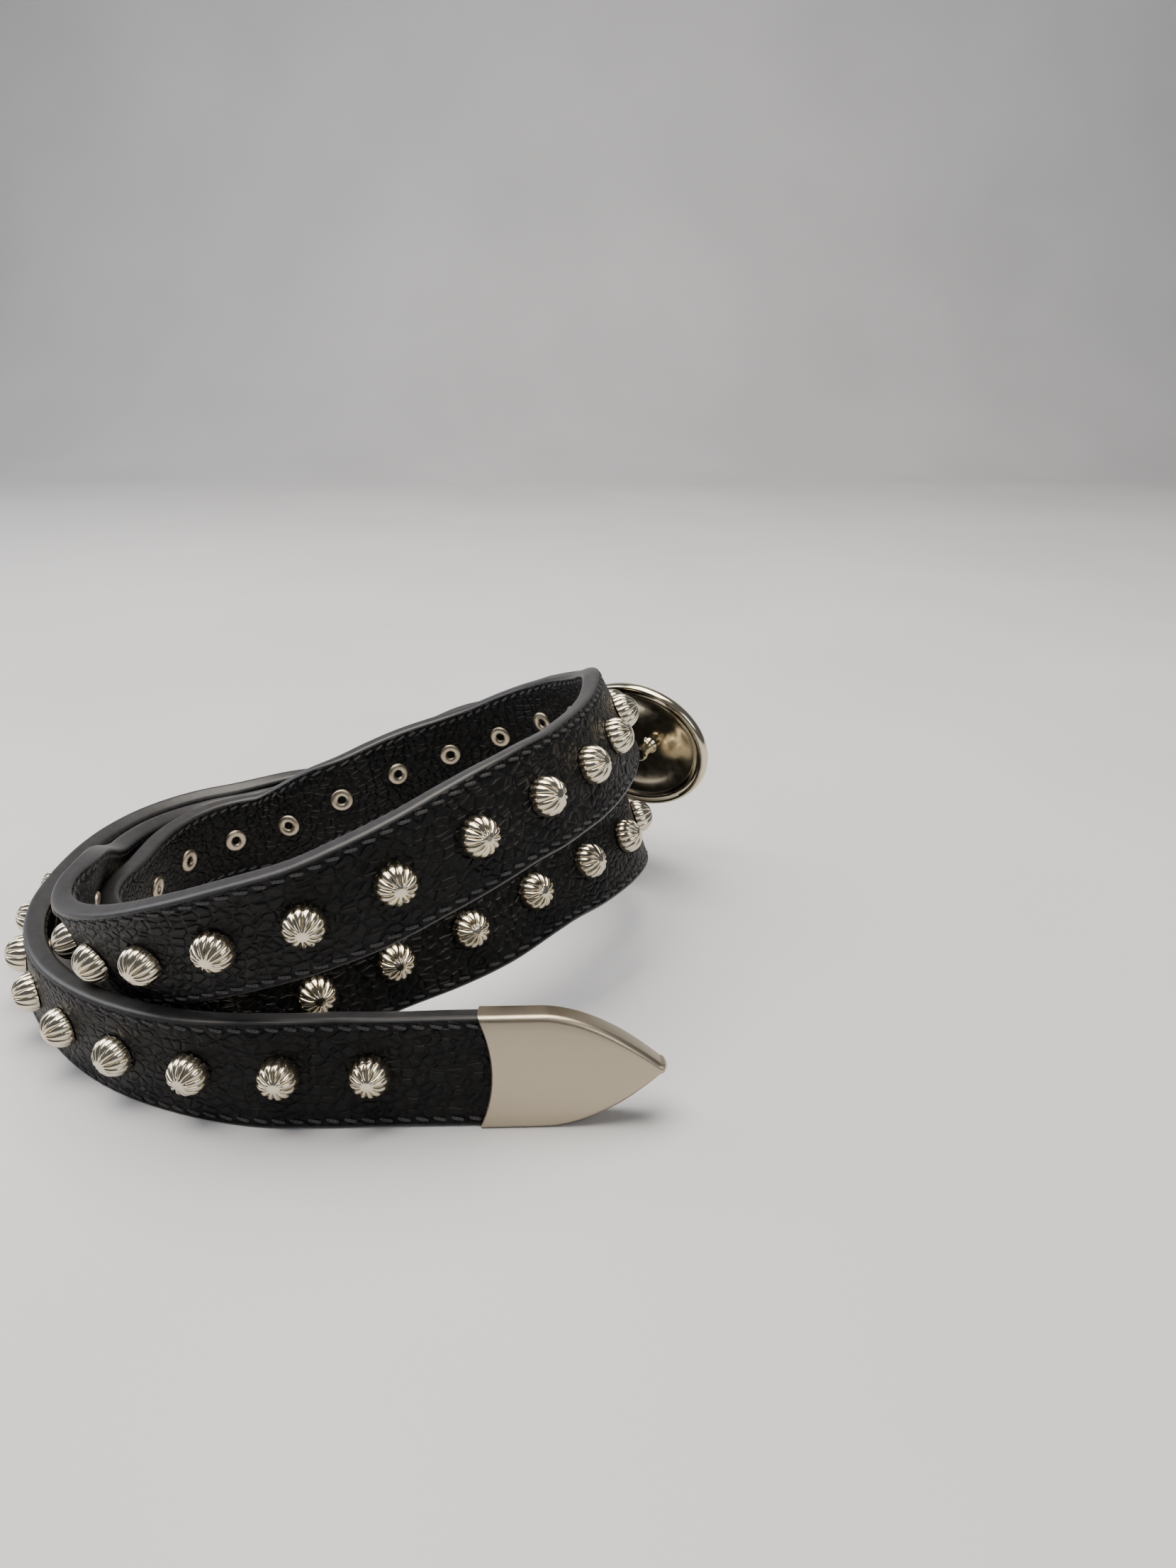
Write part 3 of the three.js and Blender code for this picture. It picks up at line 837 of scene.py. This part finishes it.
@dataclass
class Strap:
    """The leather strap with its painted edges, stitch grooves, stitches and folded end."""

    coil: Coil
    station_step: float = 1.5
    into_cap: float = 9.0
    edge_paint_from: float = 11.0
    edge_round: float = 1.4
    edge_squash: float = 0.75
    edge_wander: float = 0.12
    wander_knots: int = 160
    edge_steps: int = 7
    stitch_inset: float = 1.9
    stitch_pitch: float = 3.6
    stitch_length: float = 3.1
    stitch_slant: float = 0.35
    thread_diameter: float = 0.72
    groove_depth: float = 0.22
    groove_half: float = 0.7
    puff: float = 0.18
    puff_reach: float = 6.0
    fold_leather: float = 2.3
    fold_tab: float = 15.0
    bar_diameter: float = 4.0
    gap: float = 0.3

    def _section(self) -> tuple[Array, Array]:
        """One round of the strap's section.

        Returns:
            Out and up of each corner as columns, and whether each span is edge paint.
        """
        half, thick = self.coil.strap_width / 2, self.coil.strap_thickness / 2
        deep, low = self.edge_round, self.edge_round * self.edge_squash
        stitch = half - self.stitch_inset
        inner = [0.0, 3.0, 6.0, stitch - 2, stitch - self.groove_half, stitch]
        inner += [stitch + self.groove_half, half - low]
        face = [(thick, u) for u in inner]
        angles = np.linspace(0, math.pi / 2, self.edge_steps)[1:]
        corner = [
            (thick - deep * (1 - math.cos(a)), half - low * (1 - math.sin(a))) for a in angles
        ]
        section = mirrored(face + corner)
        return section, np.abs(section[:, 1]) > self.edge_paint_from

    def _reliefs(self, lengths: Array, section: Array) -> Array:
        """How far each corner of each ring moves off the plain section, along its face.

        Args:
            lengths: The rings' lengths from the tip's point.
            section: Out and up of each corner.

        Returns:
            Distances, rings by corners, positive away from the strap's middle.
        """
        half = self.coil.strap_width / 2
        across = np.abs(section[:, 1])
        stitch = half - self.stitch_inset
        groove = -self.groove_depth * np.clip(1 - np.abs(across - stitch) / self.groove_half, 0, 1)
        groove = np.where(across < half - 1.0, groove, 0)
        near = (lengths - self.coil.stud_place(0)) / self.coil.stud_pitch
        off_stud = np.abs(near - np.round(near))[:, None] * self.coil.stud_pitch
        share = np.clip(1 - np.hypot(off_stud, across[None]) / self.puff_reach, 0, 1)
        pressed = -self.puff * share**1.5
        pressed = np.where(across < stitch - 1, pressed, 0)
        return groove[None] + pressed

    def body(self) -> Shape:
        """The strap itself, from inside the cap to the fold."""
        section, painted = self._section()
        start = self.coil.tip_length - self.into_cap
        end = self.coil.bar_place - self.bar_diameter
        lengths = np.linspace(start, end, int((end - start) / self.station_step))
        frames = self.coil.frames(lengths, 2.0)
        count, size = len(lengths), len(section)
        rng = np.random.default_rng(7)
        knots = np.linspace(start, end, self.wander_knots)
        swings = rng.uniform(-self.edge_wander, self.edge_wander, self.wander_knots)
        wander = np.where(painted, np.interp(lengths, knots, swings)[:, None], 0)
        local = np.zeros((count, size, 3))
        local[..., 1] = section[:, 0] + np.sign(section[:, 0]) * self._reliefs(lengths, section)
        local[..., 2] = section[:, 1] + np.sign(section[:, 1]) * wander
        points = frames.place(local)
        points[:, 2] = np.maximum(points[:, 2], 0.0)
        faces = tube_faces(count, size)
        paints = [int(painted[k] and painted[(k + 1) % size]) for k in range(size)] * (count - 1)
        paints += [1, 1]
        coordinates = np.zeros((count, size, 3))
        coordinates[..., 0] = lengths[:, None]
        coordinates[..., 1] = section[:, 1]
        coordinates[..., 2] = section[:, 0]
        return Shape(points, faces, paints, coordinates.reshape(-1, 3))

    def stitches(self, face: StrapFace) -> Shape:
        """Both rows of slanted stitches on one face.

        Args:
            face: The face that they are sewn into.

        Returns:
            All the stitches, each a closed body.
        """
        ring, sides = 7, 6
        share = np.linspace(-1, 1, ring)
        bulge = np.sqrt(np.clip(1 - (share * 0.96) ** 4, 0, 1)) * self.thread_diameter / 2
        arch = 0.1 - 0.34 * share**4
        angles = np.linspace(0, TAU, sides, endpoint=False)
        first = self.coil.tip_length + 1.0
        last = self.coil.bar_place - self.bar_diameter - 2
        places = np.arange(first, last, self.stitch_pitch)
        top = self.coil.strap_thickness / 2 - self.groove_depth
        shapes: list[Shape] = []
        caps = tube_faces(ring, sides)
        for side in (-1, 1):
            across = side * (self.coil.strap_width / 2 - self.stitch_inset)
            steps = places[:, None] + share * self.stitch_length / 2
            frames = self.coil.frames(steps.ravel(), 2.0)
            local = np.zeros((len(steps.ravel()), sides, 3))
            slant = np.tile(share * self.stitch_slant, len(places))[:, None]
            height = np.tile(top + arch, len(places))[:, None]
            girth = np.tile(bulge, len(places))[:, None]
            local[..., 1] = face.value * (height + girth * np.cos(angles))
            local[..., 2] = across + slant + girth * np.sin(angles) * 1.15 * face.value
            points = frames.place(local)
            where = np.zeros((len(steps.ravel()), sides, 3))
            where[..., 0] = steps.ravel()[:, None]
            where[..., 1] = local[..., 2]
            faces: Faces = []
            for k in range(len(places)):
                base = k * ring * sides
                faces.extend(tuple(base + i for i in f) for f in caps)
            shapes.append(Shape(points, faces, [0] * len(faces), where.reshape(-1, 3)))
        return join(shapes)

    def fold(self) -> Shape:
        """The strap's end: its outer layer runs round the bar and back along the inner face."""
        thick = self.fold_leather
        face = self.coil.strap_thickness / 2
        drop = face - thick - self.gap - self.bar_diameter / 2
        turn = self.bar_diameter / 2 + self.gap + thick / 2
        start = [(-self.bar_diameter * 1.6 + 0.8 * k, face - thick / 2 - 0.04) for k in range(8)]
        bend = np.linspace(math.pi / 2, -math.pi / 2, 17)
        arc = [(turn * math.cos(a), drop + turn * math.sin(a)) for a in bend]
        low, rest = drop - turn, -face - thick / 2 - 0.05
        ease = [
            (-x, low + (rest - low) * (1 - math.cos(math.pi * min(x / 9, 1))) / 2)
            for x in np.linspace(0.8, self.fold_tab, 14)
        ]
        path = np.array([p for p in start if p[0] < -0.2] + arc + ease)
        step = np.gradient(path, axis=0)
        step /= np.linalg.norm(step, axis=1)[:, None]
        normal = np.stack([-step[:, 1], step[:, 0]], axis=-1)
        half, soft = self.coil.strap_width / 2, 0.8
        across = [0.0, 4.0, 8.0, half - 2.6, half - soft]
        angles = np.linspace(0, math.pi / 2, 4)[1:]
        quarter = [(thick / 2, u) for u in across]
        quarter += [
            (thick / 2 - soft * (1 - math.cos(a)), half - soft * (1 - math.sin(a))) for a in angles
        ]
        section = mirrored(quarter)
        size = len(section)
        local = np.zeros((len(path), size, 3))
        local[..., :2] = path[:, None] + normal[:, None] * section[None, :, :1]
        local[..., 2] = section[:, 1]
        frame_at = self.coil.frames(np.array([self.coil.bar_place]))
        points = frame_at.place(local.reshape(-1, 3))
        painted = np.abs(section[:, 1]) > half - 0.7
        faces = tube_faces(len(path), size)
        paints = [int(painted[k] and painted[(k + 1) % size]) for k in range(size)]
        paints = paints * (len(path) - 1) + [1, 1]
        run = np.concatenate([[0], np.cumsum(np.linalg.norm(np.diff(path, axis=0), axis=1))])
        coordinates = np.zeros((len(path), size, 3))
        coordinates[..., 0] = self.coil.bar_place + run[:, None]
        coordinates[..., 1] = section[:, 1]
        return Shape(points, faces, paints, coordinates.reshape(-1, 3))

    def dress(self) -> None:
        """Makes the strap's pieces."""
        make_piece("strap_leather", self.body(), [LEATHER, EDGE_PAINT], Slot.LEATHER, ["strap"])
        make_piece("strap_fold", self.fold(), [LEATHER, EDGE_PAINT], Slot.LEATHER, ["strap"])
        for face in StrapFace:
            name = f"stitches_{face.name.lower()}"
            make_piece(name, self.stitches(face), [THREAD], Slot.LEATHER, ["strap"])


@dataclass
class Studs:
    """Domed, fluted studs with the tubular rivet heads behind them."""

    coil: Coil
    count: int = 63
    diameter: float = 9.0
    height: float = 4.8
    ribs: int = 13
    steps_per_rib: int = 12
    button_share: float = 0.26
    flute_depth: float = 0.56
    post_diameter: float = 3.0
    rivet_diameter: float = 6.6
    rivet_proud: float = 0.9
    rivet_hole: float = 2.2
    rivet_depth: float = 1.4
    rivet_sides: int = 28

    def _cap(self) -> Shape:
        """The fluted dome, with its closed base a little in the leather."""
        radius = self.diameter / 2
        around = self.ribs * self.steps_per_rib
        angles = np.linspace(0, TAU, around, endpoint=False)
        crest = np.abs(np.sin(angles * self.ribs / 2)) ** 0.6
        shares = np.array([0.12, 0.22, 0.3, 0.36, 0.46, 0.57, 0.68, 0.78, 0.87, 0.94, 0.985, 1.0])
        rim_height = 0.55
        rise = self.height - rim_height
        dome = rim_height + rise * (1 - shares**2.2) ** 0.5
        ring_list: list[Array] = []
        for share, level in zip(shares, dome):
            window = np.clip((share - self.button_share) / 0.16, 0, 1)
            window = window * window * (3 - 2 * window)
            groove = (1 - crest) * window * self.flute_depth
            steep = share**3
            r = radius * share - groove * (0.15 + 0.4 * steep)
            h = level - groove * (1.2 - 0.9 * steep)
            if share < self.button_share:
                h = h + 0.06
            h = np.broadcast_to(h, r.shape)
            ring_list.append(np.stack([r * np.cos(angles), h, r * np.sin(angles)], -1))
        rim = ring_list[-1].copy()
        rim[:, 1] = 0.12
        base = rim * np.array([0.86, 0, 0.86]) + np.array([0, -0.15, 0])
        ring_list += [rim, base]
        points = np.concatenate(ring_list + [[[0, self.height + 0.04, 0], [0, -0.15, 0]]])
        faces = [f[::-1] for f in grid_faces(len(ring_list), around)]
        top, bottom = len(points) - 2, len(points) - 1
        last = (len(ring_list) - 1) * around
        for k in range(around):
            after = (k + 1) % around
            faces.append((top, after, k))
            faces.append((bottom, last + k, last + after))
        return Shape(points, faces, [0] * len(faces))

    def _rivet(self) -> Shape:
        """The rolled rivet head behind the strap, with its dark bore."""
        back = -self.coil.strap_thickness
        radius, hole = self.rivet_diameter / 2, self.rivet_hole / 2
        lip = (radius - hole) / 2
        roll = np.linspace(0, math.pi, 9)
        crown = [
            (hole + lip * (1 - math.cos(a)), back - self.rivet_proud * math.sin(a) ** 0.7)
            for a in roll
        ]
        shell = [(0.0, back + 0.4)] + [(radius - 0.1, back + 0.4)] + list(reversed(crown))
        bottom = back + self.rivet_depth * 0.25
        shell += [(hole * 0.92, bottom), (0.0, bottom)]
        return turned(shell, self.rivet_sides, 1)

    def _whole(self) -> Shape:
        """Cap and rivet head of one stud, standing on the strap's outer face at the origin."""
        return join([self._cap(), self._rivet()])

    def dress(self) -> None:
        """Makes one piece for each stud that has a solid, and one for all the others."""
        whole = self._whole()
        face = np.array([0.0, self.coil.strap_thickness / 2, 0.0])
        finishes = [POLISHED_NICKEL, SATIN_NICKEL]
        between: list[Shape] = []
        for number in range(self.count):
            seat = self.coil.frames(np.array([self.coil.stud_place(number)]), 4.5)
            shape = whole.moved(lambda points: seat.place(points + face))
            node = f"stud_{number + 1:02d}"
            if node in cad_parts:
                make_piece(f"{node}_fluted", shape, finishes, Slot.STUD_METAL, [node])
            else:
                between.append(shape)
        make_piece("studs_between_turns", join(between), finishes, Slot.STUD_METAL, ["strap"])


@dataclass
class TipCap:
    """Pointed cap over the strap's free end, gently crowned, with a hollow mouth."""

    coil: Coil
    thickness: float = 7.2
    overhang: float = 0.4
    crown: float = 0.45
    edge_round: float = 1.35
    wall: float = 0.9
    flank_share: float = 0.38
    shoulder_share: float = 0.68
    stations: int = 64
    cavity: float = 7.0

    def _half_width(self, share: float) -> float:
        """Half width at a share of the cap's length from its point."""
        half = self.coil.strap_width / 2 + self.overhang
        t = np.linspace(0, 1, 200)
        along = 2 * t * (1 - t) * self.flank_share + t**2 * self.shoulder_share
        across = (1 - (1 - t) ** 2) * half
        return float(np.interp(share, along, across))

    def _ring(self, share: float, width: float, thick: float, back: float = 0.0) -> Array:
        """One round of the cap.

        Args:
            share: Place along the cap as a share of its length from the point.
            width: Half width there.
            thick: Half thickness there.
            back: How far the round is moved towards the point.

        Returns:
            Places with X along the cap, Y out of its face and Z across it.
        """
        half = self.coil.strap_width / 2 + self.overhang
        loop = rounded_loop(width, thick, self.edge_round)
        across = loop[:, 1]
        bulge = 1 - (across / half) ** 2
        fall = self.crown * (1 - bulge) * (thick / self.thickness * 2)
        out = loop[:, 0] - np.sign(loop[:, 0]) * fall
        hollow = self.coil.tip_hollow * bulge * share**10
        return np.stack([share * self.coil.tip_length - hollow - back, out, across], -1)

    def shape(self) -> Shape:
        """The cap's closed body, lying along X with its outer face along Y."""
        full = self.thickness / 2
        half = self.coil.strap_width / 2 + self.overhang
        rings: list[Array] = []
        for share in (1 - np.cos(np.linspace(0.05, math.pi, self.stations))) / 2:
            nose = math.sqrt(min(1.0, share / 0.02))
            width = max(self._half_width(share), 0.9 * nose)
            thick = full * (0.72 + 0.28 * min(1.0, share / 0.25) ** 0.6) * max(nose, 0.3)
            rings.append(self._ring(float(share), width, thick))
        lip = self.wall * 0.35
        rings.append(self._ring(1.0, half - lip, full - lip, -0.25))
        rings.append(self._ring(1.0, half - self.wall, full - self.wall, 0.15))
        rings.append(self._ring(1.0, half - self.wall, full - self.wall, self.cavity))
        size = len(rings[0])
        faces = tube_faces(len(rings), size, flip=True)
        return Shape(np.concatenate(rings), faces, [0] * len(faces))

    def dress(self) -> None:
        """Makes the cap."""
        near = 0.6  # just behind the point, where the strap's direction is known
        seat = self.coil.frames(np.array([near]))
        seat.point = seat.point - seat.along * near
        shape = self.shape().moved(seat.place)
        shape.points[:, 2] = np.maximum(shape.points[:, 2], 0.0)
        make_piece("tip_cap_satin", shape, [SATIN_NICKEL], Slot.SATIN_NICKEL, ["tip_cap"])


@dataclass
class Buckle:
    """Oval plate with a raised rim, its bar between two lugs and a plain fastening post."""

    coil: Coil
    length: float = 48.0
    height: float = 40.0
    thickness: float = 3.4
    rim_width: float = 3.4
    dish: float = 1.4
    bar_diameter: float = 4.0
    bar_inset: float = 9.0
    lug_thickness: float = 2.6
    post_diameter: float = 3.6
    post_height: float = 6.0
    fold_leather: float = 2.3
    gap: float = 0.3
    sides: int = 112
    rod_sides: int = 32
    lug_sides: int = 24
    lug_flare: float = 1.2
    flare_height: float = 1.5
    dome_fall: float = 0.42

    def _plate(self) -> Shape:
        """The plate: a low dome outside, and inside a dish within a rounded rim."""
        outer, half = self.length / 2, self.thickness / 2
        inner = outer - self.rim_width
        shares = (0, 0.2, 0.4, 0.6, 0.75, 0.87, 0.94)
        front = [(outer * t, half * (1 - self.dome_fall * t**3)) for t in shares]
        edge = [
            (outer - 1.1 + 1.1 * math.cos(a), -0.35 * half + 0.95 * half * math.sin(a))
            for a in np.linspace(1.2, -math.pi / 2, 10)
        ]
        low = -half
        rim = [(outer - 1.1 - (self.rim_width - 2.2) * t, low) for t in (0.4, 0.9)]
        slope = [
            (inner + 0.5 - 1.9 * t, low + self.dish * (3 * t * t - 2 * t**3))
            for t in np.linspace(0, 1, 7)
        ]
        floor = low + self.dish
        back = [(inner * t, floor + 0.15 * (1 - t)) for t in (0.75, 0.5, 0.25, 0)]
        shape = turned(front + edge + rim + slope + back, self.sides)
        shape.points[:, 2] *= self.height / self.length
        return shape

    def shape(self) -> Shape:
        """The whole buckle, with the bar at the origin along Z and the plate towards +X."""
        face = self.coil.strap_thickness / 2
        rise = face + self.gap + self.thickness / 2
        middle = self.length / 2 - self.bar_inset
        drop = face - self.fold_leather - self.gap - self.bar_diameter / 2
        half = self.coil.strap_width / 2 + self.gap + self.lug_thickness
        radius = self.bar_diameter / 2
        plate = self._plate().moved(lambda p: p + np.array([middle, rise, 0.0]))
        rod = [(0.0, half), (radius - 0.4, half), (radius, half - 0.4)]
        rod += [(radius, -half + 0.4), (radius - 0.4, -half), (0.0, -half)]
        upright = turned(rod, self.rod_sides)
        bar = upright.moved(lambda p: p[:, [0, 2, 1]] * (1, 1, -1) + np.array([0, drop, 0]))
        parts = [plate, bar]
        for side in (-1, 1):
            parts.append(self._lug(side, drop, rise))
        top = rise - self.thickness / 2 + self.dish + 0.2
        r = self.post_diameter / 2
        peg = [(0.0, top), (r + 0.9, top), (r + 0.5, top - 0.7), (r, top - 1.4)]
        end = top - self.post_height
        peg += [(r, end + 1.2), (r + 0.5, end + 0.9), (r + 0.4, end + 0.2), (r, end), (0.0, end)]
        away = np.array([middle + self.bar_inset / 2, 0, 0])
        post = turned(peg, self.rod_sides).moved(lambda p: p + away)
        return join(parts + [post])

    def _lug(self, side: int, drop: float, rise: float) -> Shape:
        """One lug that carries the bar.

        Args:
            side: -1 for the lower lug, 1 for the upper.
            drop: Height of the bar's middle along Y.
            rise: Height of the plate's middle along Y.

        Returns:
            A rounded upright.
        """
        radius = self.bar_diameter / 2
        foot, head = rise, drop
        eye = head - radius * np.sin(np.linspace(0.2, math.pi / 2, 6))
        levels = np.concatenate([[foot], np.linspace(foot - 1, head, 4), eye])
        angles = np.linspace(0, TAU, self.lug_sides, endpoint=False)
        c = np.sign(np.cos(angles)) * np.abs(np.cos(angles)) ** 0.5
        s = np.sign(np.sin(angles)) * np.abs(np.sin(angles)) ** 0.5
        rings: list[Array] = []
        mid = side * (self.coil.strap_width / 2 + self.gap + self.lug_thickness / 2)
        for level in levels:
            below = max(head - level, 0.0) / radius
            flare = self.lug_flare * max(0.0, 1 - (foot - level) / self.flare_height)
            width = radius * math.sqrt(max(1 - below**2, 0.02)) + flare
            x = c * width
            z = mid + s * self.lug_thickness / 2
            rings.append(np.stack([x, np.full_like(x, level), z], -1))
        faces = tube_faces(len(rings), self.lug_sides, flip=True)
        return Shape(np.concatenate(rings), faces, [0] * len(faces))

    def dress(self) -> None:
        """Makes the buckle."""
        seat = self.coil.frames(np.array([self.coil.bar_place]))
        shape = self.shape().moved(seat.place)
        make_piece("buckle_plate", shape, [BRIGHT_NICKEL], Slot.SATIN_NICKEL, ["buckle"])


@dataclass
class Studio:
    """Pale sweep of backdrop paper, soft lights and the camera."""

    coil: Coil
    focal_px: float = 1557.0
    image_height_px: float = 2212.0
    sensor_mm: float = 36.0
    pitch_deg: float = 21.5
    camera_mm: tuple[float, float, float] = (59.9, -262.9, 146.8)
    sweep_half_width: float = 1.6
    sweep_front: float = -1.2
    sweep_back: float = 1.1
    sweep_height: float = 1.4
    sweep_bend: float = 0.35

    def floor(self) -> None:
        """Makes the floor and the wall behind it as one bent sheet."""
        bend = [
            (self.sweep_back + self.sweep_bend * math.sin(a), self.sweep_bend * (1 - math.cos(a)))
            for a in np.linspace(0, math.pi / 2, 17)
        ]
        line = [(self.sweep_front, 0.0), (0.0, 0.0)] + bend
        line.append((self.sweep_back + self.sweep_bend, self.sweep_height))
        half = self.sweep_half_width
        points = [(x, y, z) for y, z in line for x in (-half, half)]
        faces = [(2 * k, 2 * k + 1, 2 * k + 3, 2 * k + 2) for k in range(len(line) - 1)]
        mesh = bpy.data.meshes.new("backdrop")
        mesh.from_pydata(points, [], faces)
        mesh.materials.append(StudioPaper().build())
        mesh.shade_smooth()
        sheet = bpy.data.objects.new("backdrop", mesh)
        bpy.context.scene.collection.objects.link(sheet)

    def area_light(
        self,
        name: str,
        place: tuple[float, float, float],
        size: tuple[float, float],
        watts: float,
        colour: str = "ffffff",
    ) -> None:
        """Adds a soft rectangular light that faces the belt.

        Args:
            name: The light's name.
            place: Where it stands, in metres.
            size: Its width and height, in metres.
            watts: Its power.
            colour: Its sRGB hex colour.
        """
        data = bpy.data.lights.new(name, "AREA")
        data.shape = "RECTANGLE"
        data.size, data.size_y = size
        data.energy = watts
        data.color = linear(colour)[:3]
        light = bpy.data.objects.new(name, data)
        light.location = place
        aim = Vector((0.0, 0.0, 0.03)) - Vector(place)
        light.rotation_euler = aim.to_track_quat("-Z", "Y").to_euler()
        bpy.context.scene.collection.objects.link(light)

    def lights(self) -> None:
        """Adds the overhead softbox, a back light, a weak fill and a dim room."""
        self.area_light("overhead", (-0.1, 0.1, 1.1), (1.1, 0.8), 26.0, "fff6ea")
        self.area_light("window", (-1.0, 0.3, 0.8), (0.6, 0.9), 9.0, "f6f8ff")
        self.area_light("fill", (0.8, -0.8, 0.8), (0.6, 0.6), 3.0, "ffffff")
        world = bpy.data.worlds.new("room")
        world.use_nodes = True
        world.node_tree.nodes.clear()
        shade = {"Color": linear("c8ccd4"), "Strength": 0.22}
        back = add_node(world, "ShaderNodeBackground", shade)
        add_node(world, "ShaderNodeOutputWorld", {"Surface": back.outputs["Background"]})
        bpy.context.scene.world = world

    def camera(self) -> None:
        """Adds the camera at the photograph's angle."""
        data = bpy.data.cameras.new("camera")
        data.sensor_fit = "AUTO"
        data.sensor_width = self.sensor_mm
        data.lens = self.focal_px / self.image_height_px * self.sensor_mm
        data.clip_start = 0.01
        camera = bpy.data.objects.new("camera", data)
        camera.location = Vector(np.array(self.camera_mm) + self.coil.shift) * MM
        camera.rotation_euler = (math.radians(90 - self.pitch_deg), 0.0, 0.0)
        bpy.context.scene.collection.objects.link(camera)
        bpy.context.scene.camera = camera

    def build(self) -> None:
        """Sets up the whole studio."""
        self.floor()
        self.lights()
        self.camera()


def main() -> None:
    """Builds the belt's pieces in order."""
    logging.basicConfig(level=logging.INFO, format="%(name)s %(message)s")
    coil = Coil()
    Studio(coil).build()
    Strap(coil).dress()
    Studs(coil).dress()
    TipCap(coil).dress()
    Buckle(coil).dress()


if __name__ == "__main__":
    main()
